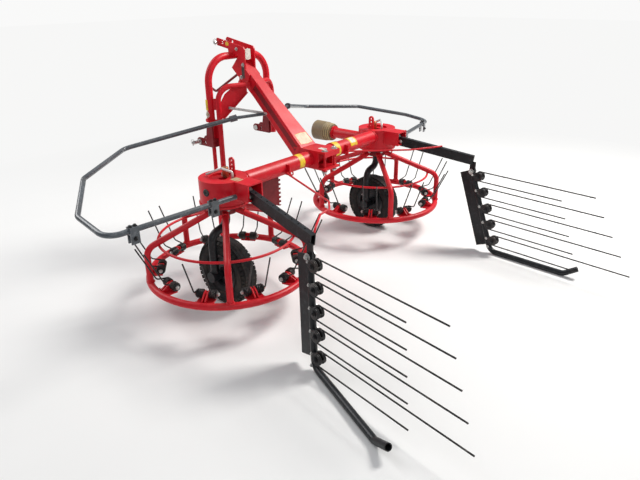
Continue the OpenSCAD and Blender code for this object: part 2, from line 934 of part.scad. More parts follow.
module rotor_tine() {
    r = (tine_coil - tine_wire) / 2;
    wire = tine_wire - 0.4;
    for (s = [-1, 1]) {
        start_y = s * (coil_half_gap + coil_length - tine_wire / 2);
        translate([coil_axis_r, s > 0 ? coil_half_gap + coil_length : -coil_half_gap, coil_axis_z])
            rotate([90, 0, 0])
                coil(tine_coil, tine_wire, coil_length, 4, holder_pin + 2 * seat);
        pipe([
            [coil_axis_r, start_y, coil_axis_z + r], [knee_r, start_y, knee_z],
            [tine_reach, start_y, tine_tip_z]
        ], wire, 24);
    }
    rod([coil_axis_r - r - join_out, -coil_half_gap - 10, coil_axis_z + join_up],
        [coil_axis_r - r - join_out, coil_half_gap + 10, coil_axis_z + join_up], wire);
}

module tines(side) {
    color(black) at_rotor(side)
        for (a = holder_angles)
            rotate([0, 0, a]) rotor_tine();
}

module tines_left() { tines(1); }
module tines_right() { tines(-1); }

// Wheel leg: upright tube in hood and hub, bent over the tyre and down to the axle
leg_side = 110;
wheel_y = 22;
leg_top = 700;
leg_bend_z = 462;
axle_z = tyre_d / 2;

module wheel_leg(side) {
    color(black) at_rotor(side) {
        pipe([
            [0, 0, leg_top], [0, 0, leg_bend_z], [0, leg_side, leg_bend_z - 30],
            [0, leg_side, axle_z]
        ], leg_d, 50);
        translate([0, leg_side - leg_d / 2 - 10, axle_z])
            rotate([-90, 0, 0])
                cylinder(h = leg_d + 20, d = 60);
        translate([0, wheel_y - tyre_w / 2 + 8, axle_z])
            rotate([-90, 0, 0])
                cylinder(h = leg_side - wheel_y + tyre_w / 2 - 8, d = axle_d);
    }
}

module wheel_leg_left() { wheel_leg(1); }
module wheel_leg_right() { wheel_leg(-1); }

module rim(side) {
    half = 44;
    color(black) at_rotor(side) translate([0, wheel_y, axle_z])
        rotate([-90, 0, 0])
            rotate_extrude()
                polygon([
                    [axle_d / 2 + run, -half], [30, -half], [30, -12], [rim_d / 2 - 12, -12],
                    [rim_d / 2 - 12, -half + 8], [rim_d / 2 + 8, -half - 2], [rim_d / 2 + 8, -half + 6],
                    [rim_d / 2, -half + 12], [rim_d / 2, half - 12], [rim_d / 2 + 8, half - 6],
                    [rim_d / 2 + 8, half + 2], [rim_d / 2 - 12, half - 8], [rim_d / 2 - 12, 12], [30, 12],
                    [30, half], [axle_d / 2 + run, half]
                ]);
}

module rim_left() { rim(1); }
module rim_right() { rim(-1); }

// Tyre: grooves round a crowned tread, bellied sides
rib_y = [-28, 0, 28];

module tyre(side) {
    r = tyre_d / 2;
    w = tyre_w / 2;
    seat_r = rim_d / 2 + 8 + seat;
    color(black) at_rotor(side) translate([0, wheel_y, axle_z])
        rotate([-90, 0, 0])
            difference() {
                rotate_extrude()
                    polygon([
                        [seat_r, -40], [r - 66, -w + 5], [r - 46, -w], [r - 28, -w + 2], [r - 12, -w + 10],
                        [r - 4, -w + 22], [r, -w + 38], [r, w - 38], [r - 4, w - 22], [r - 12, w - 10],
                        [r - 28, w - 2], [r - 46, w], [r - 66, w - 5], [seat_r, 40]
                    ]);
                for (y = rib_y)
                    translate([0, 0, y - 3])
                        rotate_extrude()
                            translate([r - 9, 0])
                                square([20, 6]);
            }
}

module tyre_left() { tyre(1); }
module tyre_right() { tyre(-1); }

// Parking leg that slides in the hoop's left leg
park_d = 26;
park_top = 770;
park_bore = 290;

module parking_leg() {
    color(red) translate([hoop_x, hoop_half, 0]) {
        translate([0, 0, 6]) cylinder(h = park_top - 6, d = park_d);
        cylinder(h = 8, d = 90);
    }
}

module placed() {
    translate([origin_back, 0, 0]) children();
}

placed() hoop();
placed() inner_tube_left();
placed() inner_tube_right();
placed() corner_gusset_left();
placed() corner_gusset_right();
placed() clevis_left();
placed() clevis_right();
placed() hitch_pin_left();
placed() hitch_pin_right();
placed() head_plates();
placed() top_link_pin();
placed() shaft_hook();
placed() main_beam();
placed() beam_foot();
placed() cross_tube();
placed() hood_left();
placed() hood_right();
placed() adjuster_left();
placed() adjuster_right();
placed() side_shield();
placed() drive_housing();
placed() cone_guard();
placed() guard_left();
placed() guard_right();
placed() brace_left();
placed() brace_right();
placed() gate_arm_left();
placed() gate_arm_right();
placed() hub_left();
placed() hub_right();
placed() spokes_left();
placed() spokes_right();
placed() ring_left();
placed() ring_right();
placed() tines_left();
placed() tines_right();
placed() input_shaft();
placed() wheel_leg_left();
placed() wheel_leg_right();
placed() rim_left();
placed() rim_right();
placed() tyre_left();
placed() tyre_right();
placed() gate_frame_left();
placed() gate_frame_right();
placed() gate_tines_left();
placed() gate_tines_right();
placed() parking_leg();
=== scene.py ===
import json
import math
import random

import bmesh
import bpy
from mathutils import Matrix, Vector


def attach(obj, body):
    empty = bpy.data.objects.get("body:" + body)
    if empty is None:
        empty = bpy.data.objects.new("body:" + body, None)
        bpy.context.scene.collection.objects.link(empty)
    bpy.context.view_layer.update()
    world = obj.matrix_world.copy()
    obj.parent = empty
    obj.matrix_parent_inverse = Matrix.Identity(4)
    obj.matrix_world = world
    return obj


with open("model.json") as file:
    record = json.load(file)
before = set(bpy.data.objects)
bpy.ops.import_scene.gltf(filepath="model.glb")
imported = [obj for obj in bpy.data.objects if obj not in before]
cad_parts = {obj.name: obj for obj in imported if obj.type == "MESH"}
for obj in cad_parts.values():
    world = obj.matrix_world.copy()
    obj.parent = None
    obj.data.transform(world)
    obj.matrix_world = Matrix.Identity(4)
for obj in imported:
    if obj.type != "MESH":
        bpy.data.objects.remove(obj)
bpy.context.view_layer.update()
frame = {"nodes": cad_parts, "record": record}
random.seed(7)

# How far the rotor axes stand in front of the frame's origin, in metres
BACK = 0.458

# Measures shared with the CAD source, in millimetres from the rotor axes' line. Where a measure
# has two values, the first is the left side's and the second the right side's.
ROTOR_Y = 720
BRACKET_Y = 700
CROSS_X, CROSS_Z, CROSS_R, CROSS_COLLAR_R = -35, 690, 45, 50
HOOD_TOP = 735
DRIVE_Z = 643
SPOKES, SPOKE_FIRST, SPOKE_STEP = 5, 66, 72
SPOKE_FOOT, SPOKE_HEAD = (439, 219), (106, 546)
SPOKE_SLOPE = (379, -150)
HUB_BOLTS, HUB_BOLT_R, HUB_BOLT_Z = 6, 84, 580
HOLDER_TURN = 18
HOLDER_BASE_R, HOLDER_BASE_HALF, HOLDER_BASE_Z = 428, 45, 212
PIN_R, PIN_Z, PIN_HALF = 372, 236, 55.5
WHEEL_OFF, WHEEL_Z = 22, 191
ARM_IN, ARM_OUT = (-150, 700, 676), (-700, 818, 592)
GATE_HANG = (18, 0)
GATE_YAW = (10.5, 6)
GATE_FOOT = ((-803, 942, 17), (-905, -764, 17))
GATE_TUBE_R, GATE_COIL_R, COIL_GAP = 17, 31, 1.5
GATE_TINES, GATE_FIRST, GATE_PITCH = 5, 28, 108
PIVOT_DROP = 73
GUARD_START = (-150, 772, 668)
GUARD_END = ((-88, 1470, 660), (20, -1474.1, 645))
BEAM_TAIL = Vector((54, 0, 718))
BEAM_WAY = Vector((540, 0, 488)).normalized()
BEAM_FACE = Vector((-BEAM_WAY.z, 0, BEAM_WAY.x))
BEAM_SKIN = 45.8
HEAD_FACE = 46.4
LEG_X, LEG_Y = 607, 277.5
LEG_LABEL_WAY, LEG_LABEL_BEND = (-0.35, 0.94, 0), 0.0225

# Bolts and nuts, in metres: width across the flats, height of the head, length of the stud
TINE_NUT = (0.019, 0.009, 0.004)
HUB_BOLT = (0.016, 0.009, 0.003)
WHEEL_NUT = (0.017, 0.010, 0.006)
WIND_PLATE_BOLT = (0.011, 0.006, 0.002)
COIL_NUT = (0.017, 0.006, 0.002)
PIVOT_NUT, PIVOT_HEAD = (0.022, 0.011, 0.006), (0.022, 0.010, 0)
ARM_TOP_BOLT = (0.016, 0.008, 0.003)
ARM_SIDE_NUT, ARM_SIDE_HEAD = (0.015, 0.007, 0.003), (0.015, 0.007, 0)
CLAMP_NUT, CLAMP_HEAD = (0.013, 0.007, 0.003), (0.013, 0.007, 0)
HEAD_PLATE_BOLT, HEAD_TOP_BOLT = (0.015, 0.007, 0.004), (0.013, 0.007, 0.003)
FOOT_NUT, FOOT_BOLT = (0.024, 0.011, 0.002), (0.019, 0.010, 0.004)
CONE_SCREW = (0.010, 0.006, 0)

# Turned pieces, in metres: radius and height of each corner
NIPPLE = [(0, 0), (0.006, 0), (0.006, 0.004), (0.0035, 0.006), (0.0035, 0.011), (0.0045, 0.013),
          (0.003, 0.016), (0, 0.0165)]
PLUG = [(0, 0), (0.020, 0), (0.020, 0.003), (0.017, 0.005), (0.008, 0.0055), (0.007, 0.003),
        (0, 0.003)]
VALVE = [(0, 0), (0.004, 0), (0.004, 0.018), (0.005, 0.019), (0.005, 0.026), (0, 0.027)]
KNOB = [(0, 0), (0.0173, 0), (0.0173, 0.036), (0.0178, 0.038), (0.0178, 0.050), (0.016, 0.0548),
        (0, 0.0552)]

# Thickness of weld beads and of films, radius of clip rods and of their rings, in metres
BEAD, MEDIUM_BEAD, THIN_BEAD, STUB_BEAD = 0.004, 0.0035, 0.003, 0.0032
FILM, THICK_FILM = 0.0004, 0.0006
CLIP_ROD, TOP_CLIP_ROD, CLIP_RING, FINE_RING = 0.0035, 0.003, 0.0016, 0.0015

X, Y, Z = Vector((1, 0, 0)), Vector((0, 1, 0)), Vector((0, 0, 1))
SIDES = ((1, "left"), (-1, "right"))


def mm(p):
    """A place given in millimetres from the rotor axes' line, in metres of the frame."""
    return Vector((p[0] / 1000 + BACK, p[1] / 1000, p[2] / 1000))


def add(name, data):
    """Object with this data, in the scene."""
    o = bpy.data.objects.new(name, data)
    bpy.context.scene.collection.objects.link(o)
    return o


# Camera, solved from the photo
CAMERA_AT = (-2224, 2608, 1637)
VIEW = Vector((0.583, -0.704, -0.406)).normalized()
RIGHT = Vector((-0.773, -0.634, -0.011))
RIGHT = (RIGHT - VIEW * RIGHT.dot(VIEW)).normalized()
UP = RIGHT.cross(VIEW).normalized()
cam_data = bpy.data.cameras.new("camera")
cam = add("camera", cam_data)
cam_data.sensor_width = 36
cam_data.lens = 31.97
cam_data.clip_end = 100
turned = Matrix((RIGHT, UP, -VIEW)).transposed().to_4x4()
cam.matrix_world = Matrix.Translation(mm(CAMERA_AT)) @ turned
bpy.context.scene.camera = cam


# Materials
class Nodes:
    """Short calls for making a material's nodes."""

    def __init__(self, name):
        self.mat = bpy.data.materials.new(name)
        self.mat.use_nodes = True
        self.tree = self.mat.node_tree
        self.bsdf = self.tree.nodes["Principled BSDF"]
        self.coord = self.new("ShaderNodeTexCoord").outputs["Object"]
        self.geo = self.new("ShaderNodeNewGeometry")

    def new(self, kind, **props):
        n = self.tree.nodes.new(kind)
        for k, v in props.items():
            setattr(n, k, v)
        return n

    def join(self, a, b):
        self.tree.links.new(a, b)

    def put(self, socket, value):
        """A link where value is another node's socket, else the value itself."""
        if isinstance(value, bpy.types.NodeSocket):
            self.join(value, socket)
        else:
            socket.default_value = value

    def noise(self, scale, detail=4.0, rough=0.55, stretch=None, distort=0.0):
        n = self.new("ShaderNodeTexNoise")
        src = self.coord
        if stretch:
            m = self.new("ShaderNodeMapping")
            m.inputs["Scale"].default_value = stretch
            self.join(self.coord, m.inputs["Vector"])
            src = m.outputs["Vector"]
        self.join(src, n.inputs["Vector"])
        n.inputs["Scale"].default_value = scale
        n.inputs["Detail"].default_value = detail
        n.inputs["Roughness"].default_value = rough
        n.inputs["Distortion"].default_value = distort
        return n.outputs["Fac"]

    def range(self, value, lo, hi, out_lo=0.0, out_hi=1.0):
        n = self.new("ShaderNodeMapRange")
        self.put(n.inputs["Value"], value)
        n.inputs["From Min"].default_value = lo
        n.inputs["From Max"].default_value = hi
        n.inputs["To Min"].default_value = out_lo
        n.inputs["To Max"].default_value = out_hi
        return n.outputs["Result"]

    def patches(self, scale, detail, rough, lo, hi, out_lo=0.0, out_hi=1.0):
        """Noise cut to a range."""
        return self.range(self.noise(scale, detail, rough), lo, hi, out_lo, out_hi)

    def math(self, op, a, b):
        n = self.new("ShaderNodeMath", operation=op)
        self.put(n.inputs[0], a)
        self.put(n.inputs[1], b)
        return n.outputs[0]

    def times(self, a, b):
        return self.math("MULTIPLY", a, b)

    def most(self, a, b):
        return self.math("MAXIMUM", a, b)

    def mix(self, fac, a, b):
        n = self.new("ShaderNodeMix", data_type="RGBA")
        self.put(n.inputs["Factor"], fac)
        for key, v in (("A", a), ("B", b)):
            sock = [s for s in n.inputs if s.name == key and s.type == "RGBA"][0]
            self.put(sock, (*v, 1.0) if isinstance(v, tuple) else v)
        return [s for s in n.outputs if s.type == "RGBA"][0]

    def axis(self, vector, letter):
        sep = self.new("ShaderNodeSeparateXYZ")
        self.join(vector, sep.inputs[0])
        return sep.outputs[letter]

    def up(self):
        """1 where the surface faces up, 0 where it is upright."""
        return self.axis(self.geo.outputs["Normal"], "Z")

    def edge(self, radius, sharp=0.25):
        """1 on edges, 0 on flats."""
        bev = self.new("ShaderNodeBevel", samples=4)
        bev.inputs["Radius"].default_value = radius
        dot = self.new("ShaderNodeVectorMath", operation="DOT_PRODUCT")
        self.join(bev.outputs[0], dot.inputs[0])
        self.join(self.geo.outputs["Normal"], dot.inputs[1])
        return self.range(self.math("SUBTRACT", 1.0, dot.outputs["Value"]), 0.01, sharp)

    def finish(self, colour, rough, bump=None, strength=0.2, distance=0.001):
        self.join(colour, self.bsdf.inputs["Base Color"])
        self.put(self.bsdf.inputs["Roughness"], rough)
        if bump is not None:
            b = self.new("ShaderNodeBump")
            b.inputs["Strength"].default_value = strength
            b.inputs["Distance"].default_value = distance
            self.join(bump, b.inputs["Height"])
            self.join(b.outputs[0], self.bsdf.inputs["Normal"])
        return self.mat


# Colours that several materials share
RUST = (0.22, 0.09, 0.04)
RUST_SPOT = (0.21, 0.09, 0.04)
UNDERCOAT = (0.10, 0.045, 0.03)
PALE_DUST = (0.42, 0.34, 0.25)
PLASTIC_DUST = (0.3, 0.26, 0.2)
FILM_DUST = (0.33, 0.27, 0.2)
EDGE_WEAR = 0.004
RIB_PITCH = 0.017


def painted(name, base, pale, dark, rough=(0.26, 0.5), dust=0.5, chip=0.5, under=UNDERCOAT,
            dust_colour=PALE_DUST, coat=0.25, shine=0.5):
    n = Nodes(name)
    n.bsdf.inputs["Specular IOR Level"].default_value = shine
    n.bsdf.inputs["Coat Weight"].default_value = coat
    n.bsdf.inputs["Coat Roughness"].default_value = 0.18
    big = n.noise(3.1, 5, 0.6)
    colour = n.mix(n.range(big, 0.35, 0.7), dark, base)
    colour = n.mix(n.times(n.patches(46, 4, 0.6, 0.52, 0.72), 0.35), colour, pale)
    # painted sheen of the light from above: faces that look up are mixed towards the pale colour,
    # more where the big noise is high
    top = n.range(n.up(), 0.45, 1.0)
    colour = n.mix(n.times(top, n.range(big, 0.3, 0.75, 0.05, 0.3)), colour, pale)
    # fine scratches along the pieces
    scratch = n.range(n.noise(55, 3, 0.7, stretch=(1.0, 0.12, 6.0), distort=0.4), 0.66, 0.71)
    colour = n.mix(n.times(scratch, 0.45), colour, pale)
    # dust on what faces up and in streaks
    streaks = n.range(n.noise(9, 6, 0.65, stretch=(1.0, 1.0, 0.4)), 0.42, 0.72)
    dusty = n.times(n.times(n.range(n.up(), -0.1, 0.9), streaks), dust)
    colour = n.mix(dusty, colour, dust_colour)
    # chips at edges and in a few spots
    edge = n.times(n.edge(EDGE_WEAR), n.patches(90, 5, 0.7, 0.5, 0.6))
    spots = n.patches(34, 6, 0.72, 0.7, 0.725)
    worn = n.most(n.times(edge, chip), n.times(spots, chip))
    colour = n.mix(worn, colour, n.mix(n.noise(140, 3), under, RUST))
    # duller under dust and in chips
    r = n.patches(14, 5, 0.6, 0.3, 0.75, *rough)
    r = n.most(r, n.times(dusty, 1.2))
    r = n.most(r, n.times(worn, 0.8))
    bump = n.math("SUBTRACT", n.times(n.noise(210, 3), 0.35), worn)
    return n.finish(colour, r, bump, 0.25, 0.0006)


def bare_metal(name, base, tint, rough=(0.25, 0.5), rust=0.3, metal=0.85):
    n = Nodes(name)
    n.bsdf.inputs["Metallic"].default_value = metal
    colour = n.mix(n.patches(30, 5, 0.6, 0.35, 0.7), base, tint)
    spots = n.patches(60, 6, 0.7, 0.6, 0.72)
    colour = n.mix(n.times(spots, rust), colour, RUST_SPOT)
    r = n.patches(24, 4, 0.6, 0.3, 0.7, *rough)
    r = n.most(r, n.times(spots, 0.75 * min(1.0, rust * 2)))
    return n.finish(colour, r, n.noise(180, 3), 0.12, 0.0004)


def spring_wire():
    n = Nodes("spring_wire")
    n.bsdf.inputs["Specular IOR Level"].default_value = 0.45
    n.bsdf.inputs["Metallic"].default_value = 0.3
    colour = n.mix(n.patches(5, 5, 0.6, 0.35, 0.7), (0.012, 0.012, 0.014), (0.04, 0.036, 0.034))
    worn = n.patches(7, 4, 0.6, 0.56, 0.70)
    colour = n.mix(n.times(worn, 0.25), colour, (0.10, 0.065, 0.045))
    shine = n.patches(16, 3, 0.5, 0.62, 0.75)
    colour = n.mix(n.times(shine, 0.4), colour, (0.22, 0.21, 0.20))
    r = n.range(n.noise(14, 3), 0.3, 0.7, 0.26, 0.42)
    return n.finish(colour, r, n.noise(120, 2), 0.08, 0.0003)


def rubber():
    n = Nodes("rubber")
    n.bsdf.inputs["Specular IOR Level"].default_value = 0.25
    colour = n.mix(n.patches(8, 5, 0.6, 0.35, 0.7), (0.010, 0.010, 0.011), (0.030, 0.029, 0.028))
    # dust, more of it near the ground
    low = n.range(n.axis(n.coord, "Z"), 0.0, 0.30, 1.0, 0.35)
    dust = n.times(n.patches(17, 6, 0.7, 0.5, 0.72), low)
    colour = n.mix(n.times(dust, 0.55), colour, (0.17, 0.13, 0.09))
    r = n.range(n.noise(30, 4), 0.3, 0.7, 0.6, 0.85)
    return n.finish(colour, r, n.noise(120, 5, 0.7), 0.35, 0.0008)


def plastic(name, base, pale, dark, ribs=None):
    """Moulded plastic; ribs gives first and last x of its pale rib stripes, and their colour."""
    n = Nodes(name)
    colour = n.mix(n.patches(12, 5, 0.6, 0.35, 0.68), dark, base)
    if ribs:
        first, last, rib_colour = ribs
        along = n.axis(n.coord, "X")
        inside = n.times(n.math("GREATER_THAN", along, first), n.math("LESS_THAN", along, last))
        wave = n.math("SINE", n.times(along, 2 * math.pi / RIB_PITCH), 0.0)
        stripe = n.times(inside, n.range(wave, 0.35, 0.75))
        colour = n.mix(n.times(stripe, 0.85), colour, rib_colour)
    # painted sheen of the light from above: faces that look up are mixed towards the pale colour
    colour = n.mix(n.times(n.range(n.up(), 0.0, 1.0), 0.45), colour, pale)
    dust = n.times(n.patches(30, 6, 0.7, 0.48, 0.7), 0.35)
    colour = n.mix(dust, colour, PLASTIC_DUST)
    r = n.range(n.noise(30, 4), 0.3, 0.7, 0.45, 0.65)
    return n.finish(colour, r, n.noise(200, 4, 0.6), 0.18, 0.0005)


def sticker(name, base, rub):
    n = Nodes(name)
    colour = n.mix(n.times(n.patches(60, 6, 0.7, 0.5, 0.62), 0.55), base, rub)
    colour = n.mix(n.times(n.patches(12, 5, 0.6, 0.45, 0.75), 0.25), colour, FILM_DUST)
    r = n.range(n.noise(30, 4), 0.3, 0.7, 0.35, 0.60)
    return n.finish(colour, r, n.noise(160, 3), 0.1, 0.0003)


# Each paint's pale colour serves its paler patches, its scratches and its painted sheen on faces
# that look up
red = painted("red_paint_scuffed", (0.68, 0.003, 0.016), (0.74, 0.024, 0.038),
              (0.52, 0.001, 0.010), rough=(0.34, 0.5), dust=0.10, coat=0.0, shine=0.36)
dark_red = painted("dark_red_paint_worn", (0.24, 0.004, 0.010), (0.33, 0.03, 0.035),
                   (0.15, 0.002, 0.006), rough=(0.38, 0.6), dust=0.16, coat=0.0, shine=0.36)
black = painted("black_paint_scratched", (0.006, 0.007, 0.009), (0.065, 0.072, 0.082),
                (0.003, 0.004, 0.005), rough=(0.28, 0.46), dust=0.05, chip=0.3,
                under=(0.07, 0.05, 0.035), dust_colour=(0.12, 0.11, 0.095), coat=0.0, shine=0.4)
grey = painted("grey_paint_satin", (0.082, 0.094, 0.108), (0.25, 0.27, 0.29),
               (0.046, 0.053, 0.062), rough=(0.20, 0.34), dust=0.12, chip=0.3,
               under=(0.16, 0.10, 0.06), dust_colour=(0.34, 0.3, 0.24))
wire = spring_wire()
zinc = bare_metal("zinc_plate", (0.50, 0.50, 0.49), (0.66, 0.65, 0.62), rust=0.35)
tan = plastic("tan_plastic_bleached", (0.235, 0.165, 0.080), (0.34, 0.27, 0.165),
              (0.15, 0.10, 0.045), ribs=(BACK + 0.388, BACK + 0.446, (0.62, 0.52, 0.22)))
black_plastic = plastic("black_plastic", (0.020, 0.020, 0.022), (0.09, 0.09, 0.09),
                        (0.010, 0.010, 0.011))
tyre = rubber()
yellow = sticker("yellow_film", (0.80, 0.56, 0.02), (0.50, 0.10, 0.04))
pale_film = sticker("pale_film", (0.72, 0.70, 0.62), (0.48, 0.30, 0.24))
cream_film = sticker("cream_film", (0.60, 0.50, 0.33), (0.52, 0.34, 0.24))
tan_film = sticker("tan_film", (0.52, 0.42, 0.24), (0.36, 0.16, 0.10))
dark_film = sticker("dark_film", (0.03, 0.025, 0.028), (0.20, 0.05, 0.05))
bright = bare_metal("bright_zinc", (0.62, 0.62, 0.60), (0.74, 0.73, 0.70), rough=(0.22, 0.4),
                    rust=0.12, metal=0.3)
copper = bare_metal("copper_knob", (0.46, 0.20, 0.09), (0.60, 0.33, 0.18), rough=(0.35, 0.55),
                    rust=0.5)

SLOT_MATERIAL = {
    "red_paint": red, "dark_red_paint": dark_red, "black_paint": black, "spring_steel": wire,
    "grey_tube": grey, "steel": zinc, "tan_plastic": tan, "tyre": tyre,
}
SLOT_OF = {s["node"]: s["material_slot"] for s in frame["record"]["subparts"]}
for node, obj in frame["nodes"].items():
    m = SLOT_MATERIAL[SLOT_OF[node]]
    if obj.material_slots:
        for s in obj.material_slots:
            s.material = m
    else:
        obj.data.materials.append(m)


# Mesh helpers. Places and sizes in Kit are metres.
def axes(z, x=None):
    """Rotation whose third column is z and whose first one is near x."""
    z = Vector(z).normalized()
    if x is None:
        x = Z if abs(z.z) < 0.9 else X
    x = Vector(x)
    x = (x - z * x.dot(z)).normalized()
    return Matrix((x, z.cross(x), z)).transposed()


def circle(count):
    """Angles of count equal parts of a turn."""
    return [2 * math.pi * i / count for i in range(count)]


class Kit:
    """Many small solids joined into one mesh that rides on one body."""

    WASHER_LOW, WASHER_HIGH = -0.0005, 0.0022
    FILM_UNDER = -0.0005
    RIPPLE, UNEVEN = 0.22, 0.08
    BEAD_STEP = 0.0025

    def __init__(self, name, body, material):
        self.name, self.body, self.material = name, body, material
        self.bm = bmesh.new()

    def skin(self, rows, closed=False):
        """Smooth faces between rows of vertices, each a closed ring; open rows get end faces."""
        pairs = list(zip(rows, rows[1:]))
        if closed:
            pairs.append((rows[-1], rows[0]))
        for a, b in pairs:
            for k in range(len(a)):
                j = (k + 1) % len(a)
                self.bm.faces.new([a[k], a[j], b[j], b[k]]).smooth = True
        if not closed:
            self.bm.faces.new(rows[0][::-1])
            self.bm.faces.new(rows[-1])

    def lathe(self, at, way, profile, sides=16, smooth=True):
        """Profile of (radius, height) pairs, closed at radius 0, turned round way."""
        m = axes(way)
        rings = []
        for r, h in profile:
            turn = circle(sides) if r > 0 else [0]
            rings.append([self.bm.verts.new(at + m @ Vector((r * math.cos(a), r * math.sin(a), h)))
                          for a in turn])
        for a, b in zip(rings, rings[1:]):
            for i in range(sides):
                j = (i + 1) % sides
                if len(a) == 1:
                    f = [a[0], b[j], b[i]]
                elif len(b) == 1:
                    f = [a[i], a[j], b[0]]
                else:
                    f = [a[i], a[j], b[j], b[i]]
                self.bm.faces.new(f).smooth = smooth

    def disc(self, at, way, radius, low, high, sides):
        self.lathe(at, way, [(0, low), (radius, low), (radius, high), (0, high)], sides, False)

    def hex_bolt(self, at, way, kind, washer=True):
        """Washer, six-sided head with a chamfer, and a stud's rounded end."""
        size, head, stud = kind
        way = Vector(way).normalized()
        r = size / math.sqrt(3)
        base = 0.0
        if washer:
            low, base = self.WASHER_LOW, self.WASHER_HIGH
            self.lathe(at, way, [(0, low), (size * 0.85, low), (size * 0.85, base - 0.0004),
                                 (size * 0.8, base), (0, base)], 18, False)
        top = base + head
        self.lathe(at, way, [(0, base), (r, base), (r, base + head * 0.85), (r * 0.84, top),
                             (0, top)], 6, False)
        if stud > 0:
            s = size * 0.29
            self.lathe(at, way, [(0, top - 0.001), (s, top - 0.001), (s, top + stud * 0.8),
                                 (s * 0.7, top + stud), (0, top + stud)], 12)

    def rippled(self, thick, a):
        """A bead's thickness at angle a of its ripples, a little uneven."""
        uneven = random.uniform(-self.UNEVEN, self.UNEVEN)
        return thick * (1 + self.RIPPLE * math.cos(a) + uneven)

    def bead(self, centre, way, radius, thick, lumps=22, sides=7):
        """Weld bead: a rippled ring round a joint."""
        m = axes(way)
        rows = []
        for a in circle(lumps * 3):
            w = self.rippled(thick, lumps * a)
            mid = Vector((math.cos(a), math.sin(a), 0))
            rows.append([self.bm.verts.new(centre + m @ (mid * (radius + w * math.cos(b))
                                                         + Vector((0, 0, w * math.sin(b)))))
                         for b in circle(sides)])
        self.skin(rows, True)

    def bead_line(self, a, b, thick, sides=7):
        """Straight rippled weld bead with thin ends."""
        m = axes(b - a)
        n = max(6, int((b - a).length / self.BEAD_STEP))
        rows = []
        for i in range(n + 1):
            t = i / n
            w = self.rippled(thick, i * 1.9) * min(1, 8 * t + 0.3, 8 * (1 - t) + 0.3)
            rows.append([self.bm.verts.new(a.lerp(b, t)
                                           + m @ Vector((w * math.cos(c), w * math.sin(c), 0)))
                         for c in circle(sides)])
        self.skin(rows)

    def tube(self, points, radius, sides=10, closed=False):
        """Round bar through points."""
        n = len(points)
        rows = []
        normal = None
        for i, p in enumerate(points):
            if closed:
                t = (points[(i + 1) % n] - points[i - 1]).normalized()
            else:
                t = (points[min(i + 1, n - 1)] - points[max(i - 1, 0)]).normalized()
            if normal is None:
                normal = axes(t).col[0]
            normal = (normal - t * normal.dot(t)).normalized()
            side = t.cross(normal)
            rows.append([self.bm.verts.new(p + (normal * math.cos(c) + side * math.sin(c)) * radius)
                         for c in circle(sides)])
        self.skin(rows, closed)

    def plate(self, at, normal, up, w, h, t, corner, bend=None):
        """Thin plate with cut corners; with bend it wraps a cylinder of that radius about up."""
        m = axes(normal, up)
        u, nrm = m.col[0].copy(), m.col[2].copy()
        s = u.cross(nrm)
        cols = 14 if bend else 2
        grids = []
        for lift in (t, self.FILM_UNDER):
            grid = []
            for i in range(cols + 1):
                x = w * (i / cols - 0.5)
                inset = corner * (1 - min(1.0, min(i, cols - i) * w / cols / corner))
                if bend:
                    a = x / bend
                    p = at - nrm * bend + (nrm * math.cos(a) + s * math.sin(a)) * (bend + lift)
                else:
                    p = at + s * x + nrm * lift
                grid.append([self.bm.verts.new(p + u * (j * (h / 2 - inset))) for j in (-1, 1)])
            grids.append(grid)
        top, low = grids
        for i in range(cols):
            self.bm.faces.new([top[i][0], top[i + 1][0], top[i + 1][1], top[i][1]])
            self.bm.faces.new([low[i][0], low[i][1], low[i + 1][1], low[i + 1][0]])
            self.bm.faces.new([top[i][0], low[i][0], low[i + 1][0], top[i + 1][0]])
            self.bm.faces.new([top[i][1], top[i + 1][1], low[i + 1][1], low[i][1]])
        self.bm.faces.new([top[0][0], top[0][1], low[0][1], low[0][0]])
        self.bm.faces.new([top[-1][0], low[-1][0], low[-1][1], top[-1][1]])

    def block(self, centre, rotation, size, bevel):
        """Box with bevelled edges."""
        made = bmesh.ops.create_cube(self.bm, size=1.0)["verts"]
        for v in made:
            v.co = centre + rotation @ (v.co * Vector(size))
        edges = list(dict.fromkeys(e for v in made for e in v.link_edges))
        bmesh.ops.bevel(self.bm, geom=edges, offset=bevel, segments=2, affect="EDGES", profile=0.5)

    def done(self):
        """The mesh as an object on its body, with the kit's material in its one slot."""
        bmesh.ops.recalc_face_normals(self.bm, faces=self.bm.faces)
        me = bpy.data.meshes.new(self.name)
        self.bm.to_mesh(me)
        self.bm.free()
        me.materials.append(self.material)
        o = add(self.name, me)
        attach(o, self.body)


# Geometry helpers, in millimetres
def pick(pair, side):
    """The left or the right value of a pair."""
    return pair[0 if side > 0 else 1]


def mirrored(p, side):
    return Vector((p[0], side * p[1], p[2]))


def outward(a):
    """Level direction at angle a."""
    return Vector((math.cos(a), math.sin(a), 0))


def sideways(a):
    """Level direction a quarter turn past angle a."""
    return Vector((-math.sin(a), math.cos(a), 0))


def spoke_angle(i):
    return math.radians(SPOKE_FIRST + SPOKE_STEP * i)


def holder_ways(i, s):
    """Outward and sideways directions of the tine holder on side s of spoke i."""
    a = spoke_angle(i) + math.radians(HOLDER_TURN * s)
    return outward(a), sideways(a)


def wheel_ways(a):
    """Outward direction at angle a of a wheel, and the direction along its tread."""
    return Vector((math.cos(a), 0, math.sin(a))), Vector((-math.sin(a), 0, math.cos(a)))


def oval(centre, half_x, half_z):
    """Points of an upright oval across Y, in metres."""
    return [mm(Vector(centre) + Vector((half_x * math.sin(t), 0, half_z * math.cos(t))))
            for t in circle(24)]


def loop(centre, u, v, radius, count):
    """Points of a circle through the directions u and v, in metres."""
    return [mm(centre + (u * math.cos(c) + v * math.sin(c)) * radius) for c in circle(count)]


def tine_way(side):
    """Level direction in which the gate's tines point."""
    a = math.radians(pick(GATE_YAW, side))
    return Vector((-math.cos(a), math.sin(a), 0))


